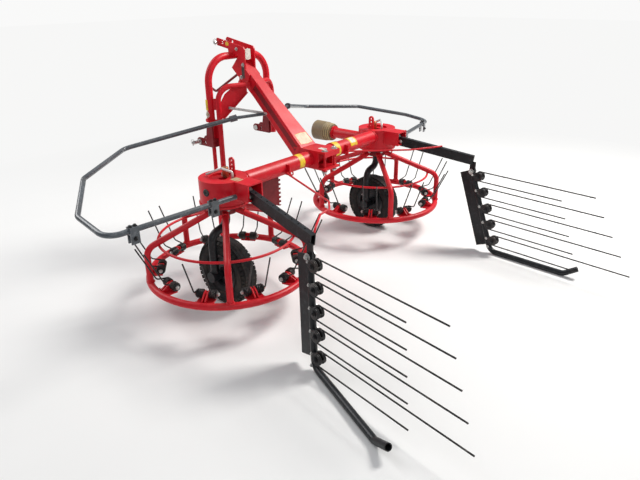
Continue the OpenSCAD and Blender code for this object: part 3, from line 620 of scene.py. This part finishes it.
def bent(points, r, steps=6):
    """Points of a line whose corners are rounded with radius r."""
    pts = [Vector(p) for p in points]
    out = [pts[0]]
    for a, b, c in zip(pts, pts[1:], pts[2:]):
        u, w = (a - b).normalized(), (c - b).normalized()
        half = u.angle(w) / 2
        cut = r / math.tan(half)
        mid = b + (u + w).normalized() * (r / math.sin(half))
        p0, p1 = b + u * cut - mid, b + w * cut - mid
        for k in range(steps + 1):
            out.append(mid + p0.slerp(p1, k / steps).normalized() * r)
    out.append(pts[-1])
    return out


def dress_rotor(side, label):
    """Beads where spokes meet ring and hub, nuts on the tine pins, hub bolts, and coils."""
    rotor = Vector((0, side * ROTOR_Y, 0))
    body = "rotor_" + label
    beads = Kit("rotor_beads_" + label, body, red)
    nuts = Kit("tine_nuts_" + label, body, zinc)
    washers = Kit("tine_washers_" + label, body, black)
    for i in range(SPOKES):
        out = outward(spoke_angle(i))
        beads.bead(mm(rotor + out * SPOKE_FOOT[0] + Z * SPOKE_FOOT[1]), Z, 0.0185, BEAD)
        beads.bead(mm(rotor + out * SPOKE_HEAD[0] + Z * SPOKE_HEAD[1]),
                   out * SPOKE_SLOPE[0] + Z * SPOKE_SLOPE[1], 0.018, BEAD)
        for s in (-1, 1):
            o, t = holder_ways(i, s)
            for k in (-1, 1):
                at = rotor + o * PIN_R + t * (k * PIN_HALF) + Z * PIN_Z
                washers.disc(mm(at), t * k, 0.020, -0.004, -0.0015, 18)
                nuts.hex_bolt(mm(at + t * k * (-1.5)), t * k, TINE_NUT, False)
            # the holder's base plate on the ring
            for k in (-1, 1):
                c = rotor + o * HOLDER_BASE_R + t * (HOLDER_BASE_HALF * k) + Z * HOLDER_BASE_Z
                beads.bead_line(mm(c + o * -14), mm(c + o * 5), THIN_BEAD)
    for i in range(HUB_BOLTS):
        out = outward(math.radians(30 + 360 / HUB_BOLTS * i))
        nuts.hex_bolt(mm(rotor + out * HUB_BOLT_R + Z * HUB_BOLT_Z), -Z, HUB_BOLT)
    beads.done()
    nuts.done()
    washers.done()

    coils = Kit("rotor_coils_" + label, body, wire)
    first, step, radius, drift = 19, 26 / 3, 20.2, 1.2
    for i in range(SPOKES):
        for s in (-1, 1):
            o, t = holder_ways(i, s)
            for k in (-1, 1):
                for turn in range(4):
                    mid = rotor + o * PIN_R + t * (k * (first + turn * step)) + Z * PIN_Z
                    coils.tube([mm(mid + (o * math.cos(c) + Z * math.sin(c)) * radius
                                   + t * (k * drift * math.sin(c / 2)))
                                for c in circle(36)], 0.0040, 8, True)
    coils.done()


def dress_hood(side, label):
    """Grease nipple, beads of the bracket and of the adjuster, and a plug in the hood's side."""
    rotor = Vector((0, side * ROTOR_Y, 0))
    nipple = Kit("hood_bolts_" + label, "frame", zinc)
    nipple.lathe(mm(rotor + Vector((38, -side * 30, 723))), Z, NIPPLE, 12)
    nipple.done()
    beads = Kit("hood_beads_" + label, "frame", red)
    x, y, half = -116, side * BRACKET_Y, 52
    beads.bead_line(mm((x, y - half, HOOD_TOP - 1)), mm((x, y + half, HOOD_TOP - 1)), THIN_BEAD)
    for k in (-1, 1):
        edge_y, plate_y = y + half * k, side * 650 + 4 * k
        beads.bead_line(mm((x, edge_y, 650)), mm((x, edge_y, HOOD_TOP - 2)), MEDIUM_BEAD)
        beads.bead_line(mm((-20, plate_y, HOOD_TOP + 1)), mm((20, plate_y, HOOD_TOP + 1)),
                        THIN_BEAD)
    beads.done()
    plug = Kit("hood_plug_" + label, "frame", black_plastic)
    o = outward(math.radians(95 * side))
    plug.lathe(mm(rotor + o * 127 + Z * 680), o, PLUG, 28)
    plug.done()


def dress_wheel(side, label):
    """Shoulder blocks and ribs of the tread, rings on the tyre's sides, nuts and valve."""
    body = "wheel_" + label
    centre = Vector((0, side * ROTOR_Y + WHEEL_OFF, WHEEL_Z))
    tread = Kit("tread_" + label, body, tyre)
    shoulder_r, shoulder_y, shoulder_block = 177.5, 46, (0.0165, 0.017, 0.009)
    for a in circle(44):
        out, tang = wheel_ways(a)
        for s in (-1, 1):
            lean = Y * (0.62 * s) + out * 0.79
            m = Matrix((tang, lean.cross(tang).normalized(), lean.normalized())).transposed()
            tread.block(mm(centre + out * shoulder_r + Y * (shoulder_y * s)), m,
                        shoulder_block, 0.0012)
    ribs, rib_r, rib_block = 60, 187.2, (0.0165, 0.0165, 0.005)
    for y in (-28, 0, 28):
        shift = 0.5 if y == 0 else 0
        for i in range(ribs):
            out, tang = wheel_ways(2 * math.pi * (i + shift) / ribs)
            m = Matrix((tang, Y, out)).transposed()
            tread.block(mm(centre + out * rib_r + Y * y), m, rib_block, 0.001)
    tread.done()
    rings = Kit("tyre_rings_" + label, body, tyre)
    for k in (-1, 1):
        for r, y in ((166, 50.6), (120, 50.5)):
            rings.tube(loop(centre + Y * (k * y), X, Z, r, 72), 0.0016, 6, True)
    rings.done()
    nuts = Kit("wheel_nuts_" + label, body, zinc)
    for a in circle(5):
        out, _ = wheel_ways(a)
        nuts.hex_bolt(mm(centre + out * 58 - Y * 12), -Y, WHEEL_NUT)
    nuts.lathe(mm(centre + Vector((70, 20, 45))), Y, VALVE, 12)
    nuts.done()
    leg = Kit("leg_beads_" + label, "frame", black)
    leg.bead(mm((0, side * ROTOR_Y + 110, 221)), Z, 0.0225, BEAD)
    leg.done()


def dress_gate(side, label):
    """Bolts of the wind plate, coils with their nuts, the pivot's bolt, and beads of the lugs."""
    body = "gate_" + label
    way = tine_way(side)
    nrm = way.cross(Z)
    pivot = mirrored(ARM_OUT, side) - Z * PIVOT_DROP + nrm * pick(GATE_HANG, side)
    top = pivot + Z * 6
    down = (Vector(pick(GATE_FOOT, side)) - top).normalized()
    lean = math.atan2(down.dot(way), -down.z)
    coil_back = (GATE_TUBE_R + GATE_COIL_R + COIL_GAP) / math.cos(lean)
    tines = [top + down * (GATE_FIRST + GATE_PITCH * i) for i in range(GATE_TINES)]
    coil_off, coil_r, coil_turns, nut_out = 14, 27.2, (9.3, 17.3), 25
    coil_mids = [at + way * coil_back + nrm * coil_off for at in tines]

    bolts = Kit("gate_bolts_" + label, body, zinc)
    face = 17.2
    for at in tines:
        for s in (-1, 1):
            bolts.hex_bolt(mm(at - down * 2 + way * 4 + nrm * (face * s)), nrm * s, WIND_PLATE_BOLT)
    bolts.hex_bolt(mm(tines[-1] + down * 56 + nrm * face), nrm, WIND_PLATE_BOLT)
    bolts.done()
    nuts = Kit("coil_nuts_" + label, body, black)
    for mid in coil_mids:
        for s in (-1, 1):
            at = mm(mid + nrm * (nut_out * s))
            nuts.disc(at, nrm * s, 0.0155, -0.001, 0.001, 20)
            nuts.hex_bolt(at, nrm * s, COIL_NUT, False)
    nuts.done()
    rings = Kit("gate_coils_" + label, body, wire)
    for mid in coil_mids:
        for k in (-1, 1):
            for y in coil_turns:
                rings.tube(loop(mid + nrm * (k * y), way, Z, coil_r, 44), 0.0041, 9, True)
    rings.done()
    bolt = Kit("gate_pivot_bolt_" + label, body, zinc)
    bolt.hex_bolt(mm(pivot + nrm * GATE_TUBE_R), nrm, PIVOT_NUT)
    bolt.hex_bolt(mm(pivot - nrm * GATE_TUBE_R), -nrm, PIVOT_HEAD)
    bolt.done()
    beads = Kit("gate_beads_" + label, body, black)
    for at in tines:
        mid, half = at + nrm * 9 + way * (GATE_TUBE_R + 0.5), 12
        beads.bead_line(mm(mid + Z * half), mm(mid - Z * half), THIN_BEAD)
    beads.done()


def dress_arm(side, label):
    """Bolts that hold the gate arm in its bracket: one from above and one from each side."""
    start = mirrored(ARM_IN, side)
    ax = (mirrored(ARM_OUT, side) - start).normalized()
    ay = Z.cross(ax).normalized()
    az = ax.cross(ay)
    arm = Kit("arm_bolts_" + label, "frame", zinc)
    arm.hex_bolt(mm(start + ax * 40 + az * 30), az, ARM_TOP_BOLT)
    for s in (-1, 1):
        arm.hex_bolt(mm(start + ax * 60 + ay * (15 * s)), ay * s,
                     ARM_SIDE_NUT if s > 0 else ARM_SIDE_HEAD)
    arm.done()


def dress_hitch(side, label):
    """Linch pin and its ring in the lower hitch pin, beads of the clevis and of the stubs."""
    clips = Kit("hitch_clips_" + label, "frame", zinc)
    pin = Vector((698, side * 350, 730))
    clips.tube([mm(pin - Z * 17), mm(pin + Z * 15)], CLIP_ROD)
    clips.tube(oval(pin + Z * 10, 16, 14), CLIP_RING, 8, True)
    clips.done()
    clevis = Kit("clevis_beads_" + label, "frame", dark_red)
    for k in (-1, 1):
        y = side * 255 + k * 21.8
        clevis.bead_line(mm((590, y, 849)), mm((622, y, 849)), THIN_BEAD)
    clevis.done()
    stub = Kit("stub_beads_" + label, "frame", red)
    stub.bead(mm((601, side * 278, 880)), (0, side, 0), 0.0128, STUB_BEAD)
    stub.bead(mm((552, side * 44, 1080)), (-78, side * -201.7, 0), 0.0174, MEDIUM_BEAD)
    stub.done()


def dress_guard(side, label):
    """Bolts of the guard's two clamp plates."""
    clamp = Kit("clamp_bolts_" + label, "frame", black)
    start = mirrored(GUARD_START, side)
    run = Vector(pick(GUARD_END, side)) - start
    gx = run.normalized()
    gy = Z.cross(gx).normalized()
    gz = gx.cross(gy)
    half = 17.5
    for share in (0.2, 0.82):
        at = start + run * share
        for off in (-12, 12):
            clamp.hex_bolt(mm(at + gx * off + gz * half), gz, CLAMP_HEAD)
        for s in (-1, 1):
            clamp.hex_bolt(mm(at + gy * (half * s) - gz * 36), gy * s, CLAMP_NUT)
    clamp.done()


for side, label in SIDES:
    dress_rotor(side, label)
    dress_hood(side, label)
    dress_wheel(side, label)
    dress_gate(side, label)
    dress_arm(side, label)
    dress_hitch(side, label)
    dress_guard(side, label)

# Bolts of the head plates, nuts and heads of the bolts through the beam's foot
head = Kit("head_bolts", "frame", zinc)
for s in (-1, 1):
    head.hex_bolt(mm((509, s * HEAD_FACE, 1197)), (0, s, 0), HEAD_PLATE_BOLT)
    head.hex_bolt(mm((530, s * HEAD_FACE, 1120)), (0, s, 0), HEAD_PLATE_BOLT)
    head.hex_bolt(mm((560, s * HEAD_FACE, 1290)), (0, s, 0), HEAD_TOP_BOLT)
for y in (-45, 45):
    head.hex_bolt(mm((-146, y, 747)), Z, FOOT_NUT)
    head.hex_bolt(mm((-146, y, 622)), -Z, FOOT_BOLT)
head.done()

# Beads of the head plates, of the cross tube at both hoods, and of the drive housing
head_beads = Kit("head_beads", "frame", red)
for s in (-1, 1):
    head_beads.bead_line(mm((598, s * 46, 1255)), mm((630, s * 46, 1262)), MEDIUM_BEAD)
    head_beads.bead_line(mm((470, s * 46, 1100)), mm((540, s * 46, 1076)), THIN_BEAD)
for y in (598, -598):
    head_beads.bead(mm((CROSS_X, y, CROSS_Z)), Y, 0.0455, BEAD, 40)
head_beads.bead(mm((132, -ROTOR_Y, DRIVE_Z)), X, 0.0385, BEAD, 36)
head_beads.done()

# Clips with rings: in the top link pin, and on the hoop's leg that holds the parking leg
clip = Kit("top_pin_clip", "frame", zinc)
clip.tube([mm((730, 70, 1308)), mm((730, 70, 1340))], TOP_CLIP_ROD)
clip.tube(oval((730, 70, 1330), 17, 15), FINE_RING, 8, True)
clip.tube([mm((600, 276.5, 905)), mm((600, 290, 905))], CLIP_ROD)
clip.tube(oval((600, 288, 913), 15, 14), FINE_RING, 8, True)
clip.done()

# Flange screws of the cone guard
cone = Kit("cone_screws", "frame", zinc)
for i in range(6):
    a = math.radians(15 + 60 * i)
    y, z = -ROTOR_Y + 43 * math.cos(a), DRIVE_Z + 43 * math.sin(a)
    cone.hex_bolt(mm((384, y, z)), X, CONE_SCREW)
cone.done()


def band(kit, y, width, radius, first, last, lift, steps=20):
    """Film round the cross tube from one angle to another, counted backwards from the top."""
    rows = []
    for h in (lift, -0.0004):
        r = radius + h * 1000
        for at_y in (y - width / 2, y + width / 2):
            turn = [math.radians(first + (last - first) * k / steps) for k in range(steps + 1)]
            rows.append([kit.bm.verts.new(mm((CROSS_X - r * math.sin(t), at_y,
                                              CROSS_Z + r * math.cos(t)))) for t in turn])
    a, b, c, d = rows
    for k in range(steps):
        for p, q in ((a, b), (c, d), (a, c), (b, d)):
            kit.bm.faces.new([p[k], p[k + 1], q[k + 1], q[k]])
    for k in (0, steps):
        kit.bm.faces.new([a[k], b[k], d[k], c[k]])


# Films: bands on the cross tube, and labels on leg, beam, foot, head plates and hood bracket
films = Kit("yellow_bands", "frame", yellow)
pale = Kit("pale_labels", "frame", pale_film)
band(films, 168, 44, CROSS_R, -20, 125, THICK_FILM)
band(films, -176, 44, CROSS_COLLAR_R, -20, 125, THICK_FILM)
band(films, -345, 70, CROSS_R, -20, 85, THICK_FILM)
band(pale, -345, 44, CROSS_R, 0, 60, THICK_FILM + 0.0003)
beam_spot = BEAM_TAIL - Y * 4 + BEAM_WAY * 52
films.plate(mm((LEG_X, LEG_Y, 970)), LEG_LABEL_WAY, Z, 0.044, 0.066, THICK_FILM, 0.003,
            LEG_LABEL_BEND)
films.plate(mm(beam_spot + BEAM_FACE * BEAM_SKIN), BEAM_FACE, BEAM_WAY, 0.104, 0.084, FILM, 0.004)
cream = Kit("beam_label", "frame", cream_film)
cream.plate(mm(beam_spot + BEAM_FACE * (BEAM_SKIN + 0.1)), BEAM_FACE, BEAM_WAY,
            0.100, 0.080, THICK_FILM, 0.003)
cream.done()
pale.plate(mm((-96, 4, 747)), Z, X, 0.034, 0.052, FILM, 0.003)
films.plate(mm((645, 46.2, 1318)), Y, X, 0.022, 0.030, FILM, 0.003)
films.done()
pale.done()
tans = Kit("tan_labels", "frame", tan_film)
tans.plate(mm((-100, 712, HOOD_TOP)), Z, X, 0.045, 0.060, FILM, 0.003)
tans.plate(mm((LEG_X, LEG_Y, 900)), LEG_LABEL_WAY, Z, 0.044, 0.060, THICK_FILM, 0.003,
           LEG_LABEL_BEND)
tans.done()
dark = Kit("dark_labels", "frame", dark_film)
dark.plate(mm((512, 46.3, 1150)), Y, Z, 0.026, 0.075, FILM, 0.004)
dark.done()

# Pale cap between the head plates, at the beam's top
end_cap = Kit("beam_end_cap", "frame", pale_film)
end_cap.plate(mm((489.5, 18, 1262)), -X, Z, 0.044, 0.070, 0.0012, 0.006)
end_cap.done()

# Small loops of rod at the ends of the braces
loops = Kit("brace_loops", "frame", red)
for y in (282, -245):
    loops.tube(oval((-92, y, 661), 11, 11), 0.004, 8, True)
loops.done()

# Sheet round the lower beam, nearly as wide as the foot at its low end
TAPER_LOW, TAPER_HIGH = (-10, 72.6), (520, 38.7)
taper = Kit("beam_taper", "frame", red)
rings = []
for along, half in (TAPER_LOW, TAPER_HIGH):
    mid = BEAM_TAIL + BEAM_WAY * along
    rings.append([taper.bm.verts.new(mm(mid + Y * (y * half) + BEAM_FACE * (BEAM_SKIN * h)))
                  for y, h in ((1, 1), (-1, 1), (-1, -1), (1, -1))])
for i in range(4):
    j = (i + 1) % 4
    taper.bm.faces.new([rings[0][i], rings[0][j], rings[1][j], rings[1][i]])
for ring in rings:
    taper.bm.faces.new(ring)
long_edges = [taper.bm.edges.get([rings[0][i], rings[1][i]]) for i in range(4)]
bmesh.ops.bevel(taper.bm, geom=long_edges, offset=0.007, segments=4, affect="EDGES", profile=0.5)
taper.done()

# Dark red strip down each side of that sheet: painted shade of a pressed channel
channel_shade = Kit("beam_side_channel_shade", "frame", dark_red)
length, narrowing = TAPER_HIGH[0] - TAPER_LOW[0], TAPER_LOW[1] - TAPER_HIGH[1]
middle = 262
for s in (-1, 1):
    run = (BEAM_WAY * length - Y * (narrowing * s)).normalized()
    out = BEAM_FACE.cross(run).normalized()
    m = Matrix((run, out, run.cross(out).normalized())).transposed()
    half = TAPER_LOW[1] - narrowing * (middle - TAPER_LOW[0]) / length + 0.2
    mid = BEAM_TAIL + BEAM_WAY * middle + Y * (s * half)
    channel_shade.block(mm(mid + BEAM_FACE * 9), m, (0.500, 0.0012, 0.034), 0.0005)
channel_shade.done()

# Folded lip at the back of the foot
lip = Kit("foot_lip", "frame", red)
lip.block(mm((-166.2, 0, 730)), Matrix.Identity(3), (0.005, 0.146, 0.032), 0.0015)
lip.done()

# Bright sleeves over cranks, knobs and stays, which share a node with other pieces
for side, label in SIDES:
    crank = Kit("crank_" + label, "frame", bright)
    line = bent([(-54, side * BRACKET_Y, 723.5), (-54, side * BRACKET_Y, 763),
                 (-17, side * 740, 785), (70, side * 770, 744)], 12)
    line[-1] = line[-1] + (line[-1] - line[-2]).normalized() * 0.3
    crank.tube([mm(q) for q in line], 0.0071, 16)
    crank.done()
    knob = Kit("knob_" + label, "frame", copper)
    knob.lathe(mm((5, side * 694, 723.5)), Z, KNOB, 28)
    knob.done()
    stay = Kit("stay_" + label, "frame", bright)
    a, b = Vector((500, side * 200, 955)), Vector((300, side * 32, 912))
    stay.tube([mm(a.lerp(b, 0.02)), mm(a.lerp(b, 0.93))], 0.0083, 16)
    stay.done()

# Floor that fades into the white ground with distance, for the camera only
HALF_FLOOR = 30
corners = [(x * HALF_FLOOR, y * HALF_FLOOR, 0) for x, y in ((-1, -1), (1, -1), (1, 1), (-1, 1))]
floor_me = bpy.data.meshes.new("floor")
floor_me.from_pydata(corners, [], [(0, 1, 2, 3)])
floor = add("floor", floor_me)
fm = Nodes("pale_floor")
fm.finish(fm.mix(fm.range(fm.noise(0.7, 4), 0.3, 0.7), (0.80, 0.80, 0.79), (0.84, 0.84, 0.83)), 0.9)
glow = fm.new("ShaderNodeEmission")
glow.inputs["Color"].default_value = (0.93, 0.93, 0.925, 1)
light_path = fm.new("ShaderNodeLightPath")
distance = fm.new("ShaderNodeVectorMath", operation="LENGTH")
fm.join(fm.coord, distance.inputs[0])
far = fm.times(fm.range(distance.outputs["Value"], 1.9, 4.5), light_path.outputs["Is Camera Ray"])
soft = fm.new("ShaderNodeMixShader")
fm.join(far, soft.inputs[0])
fm.join(fm.bsdf.outputs[0], soft.inputs[1])
fm.join(glow.outputs[0], soft.inputs[2])
fm.join(soft.outputs[0], fm.tree.nodes["Material Output"].inputs["Surface"])
floor_me.materials.append(fm.mat)
floor.location.z = -0.0006

# World: soft blue-white light, and plain white for the camera
world = bpy.data.worlds.new("studio")
bpy.context.scene.world = world
world.use_nodes = True
nodes, join = world.node_tree.nodes, world.node_tree.links.new
light = nodes["Background"]
light.inputs["Color"].default_value = (0.93, 0.95, 1.0, 1)
light.inputs["Strength"].default_value = 0.30
white = nodes.new("ShaderNodeBackground")
white.inputs["Color"].default_value = (0.95, 0.95, 0.945, 1)
white.inputs["Strength"].default_value = 1.0
path = nodes.new("ShaderNodeLightPath")
seen = nodes.new("ShaderNodeMath")
seen.operation = "MAXIMUM"
join(path.outputs["Is Camera Ray"], seen.inputs[0])
join(path.outputs["Is Transmission Ray"], seen.inputs[1])
mixer = nodes.new("ShaderNodeMixShader")
join(seen.outputs[0], mixer.inputs[0])
join(light.outputs[0], mixer.inputs[1])
join(white.outputs[0], mixer.inputs[2])
join(mixer.outputs[0], nodes["World Output"].inputs["Surface"])


def area(name, at, target, size, power, colour=(1, 1, 1)):
    """Square light at a place, turned to a target."""
    data = bpy.data.lights.new(name, "AREA")
    data.size = size
    data.energy = power
    data.color = colour
    at, target = Vector(at), Vector(target)
    add(name, data).matrix_world = Matrix.Translation(at) @ axes(at - target).to_4x4()


area("key", (-1.6, -3.4, 4.8), (0.2, 0, 0.5), size=1.8, power=380, colour=(1.0, 0.98, 0.95))
area("fill", (-3.4, 3.8, 3.4), (0.2, 0, 0.5), size=3.5, power=55, colour=(0.95, 0.97, 1.0))
area("back", (4.2, 1.5, 3.8), (0.3, 0, 0.6), size=3.0, power=120)

bpy.context.scene.view_settings.view_transform = "Standard"
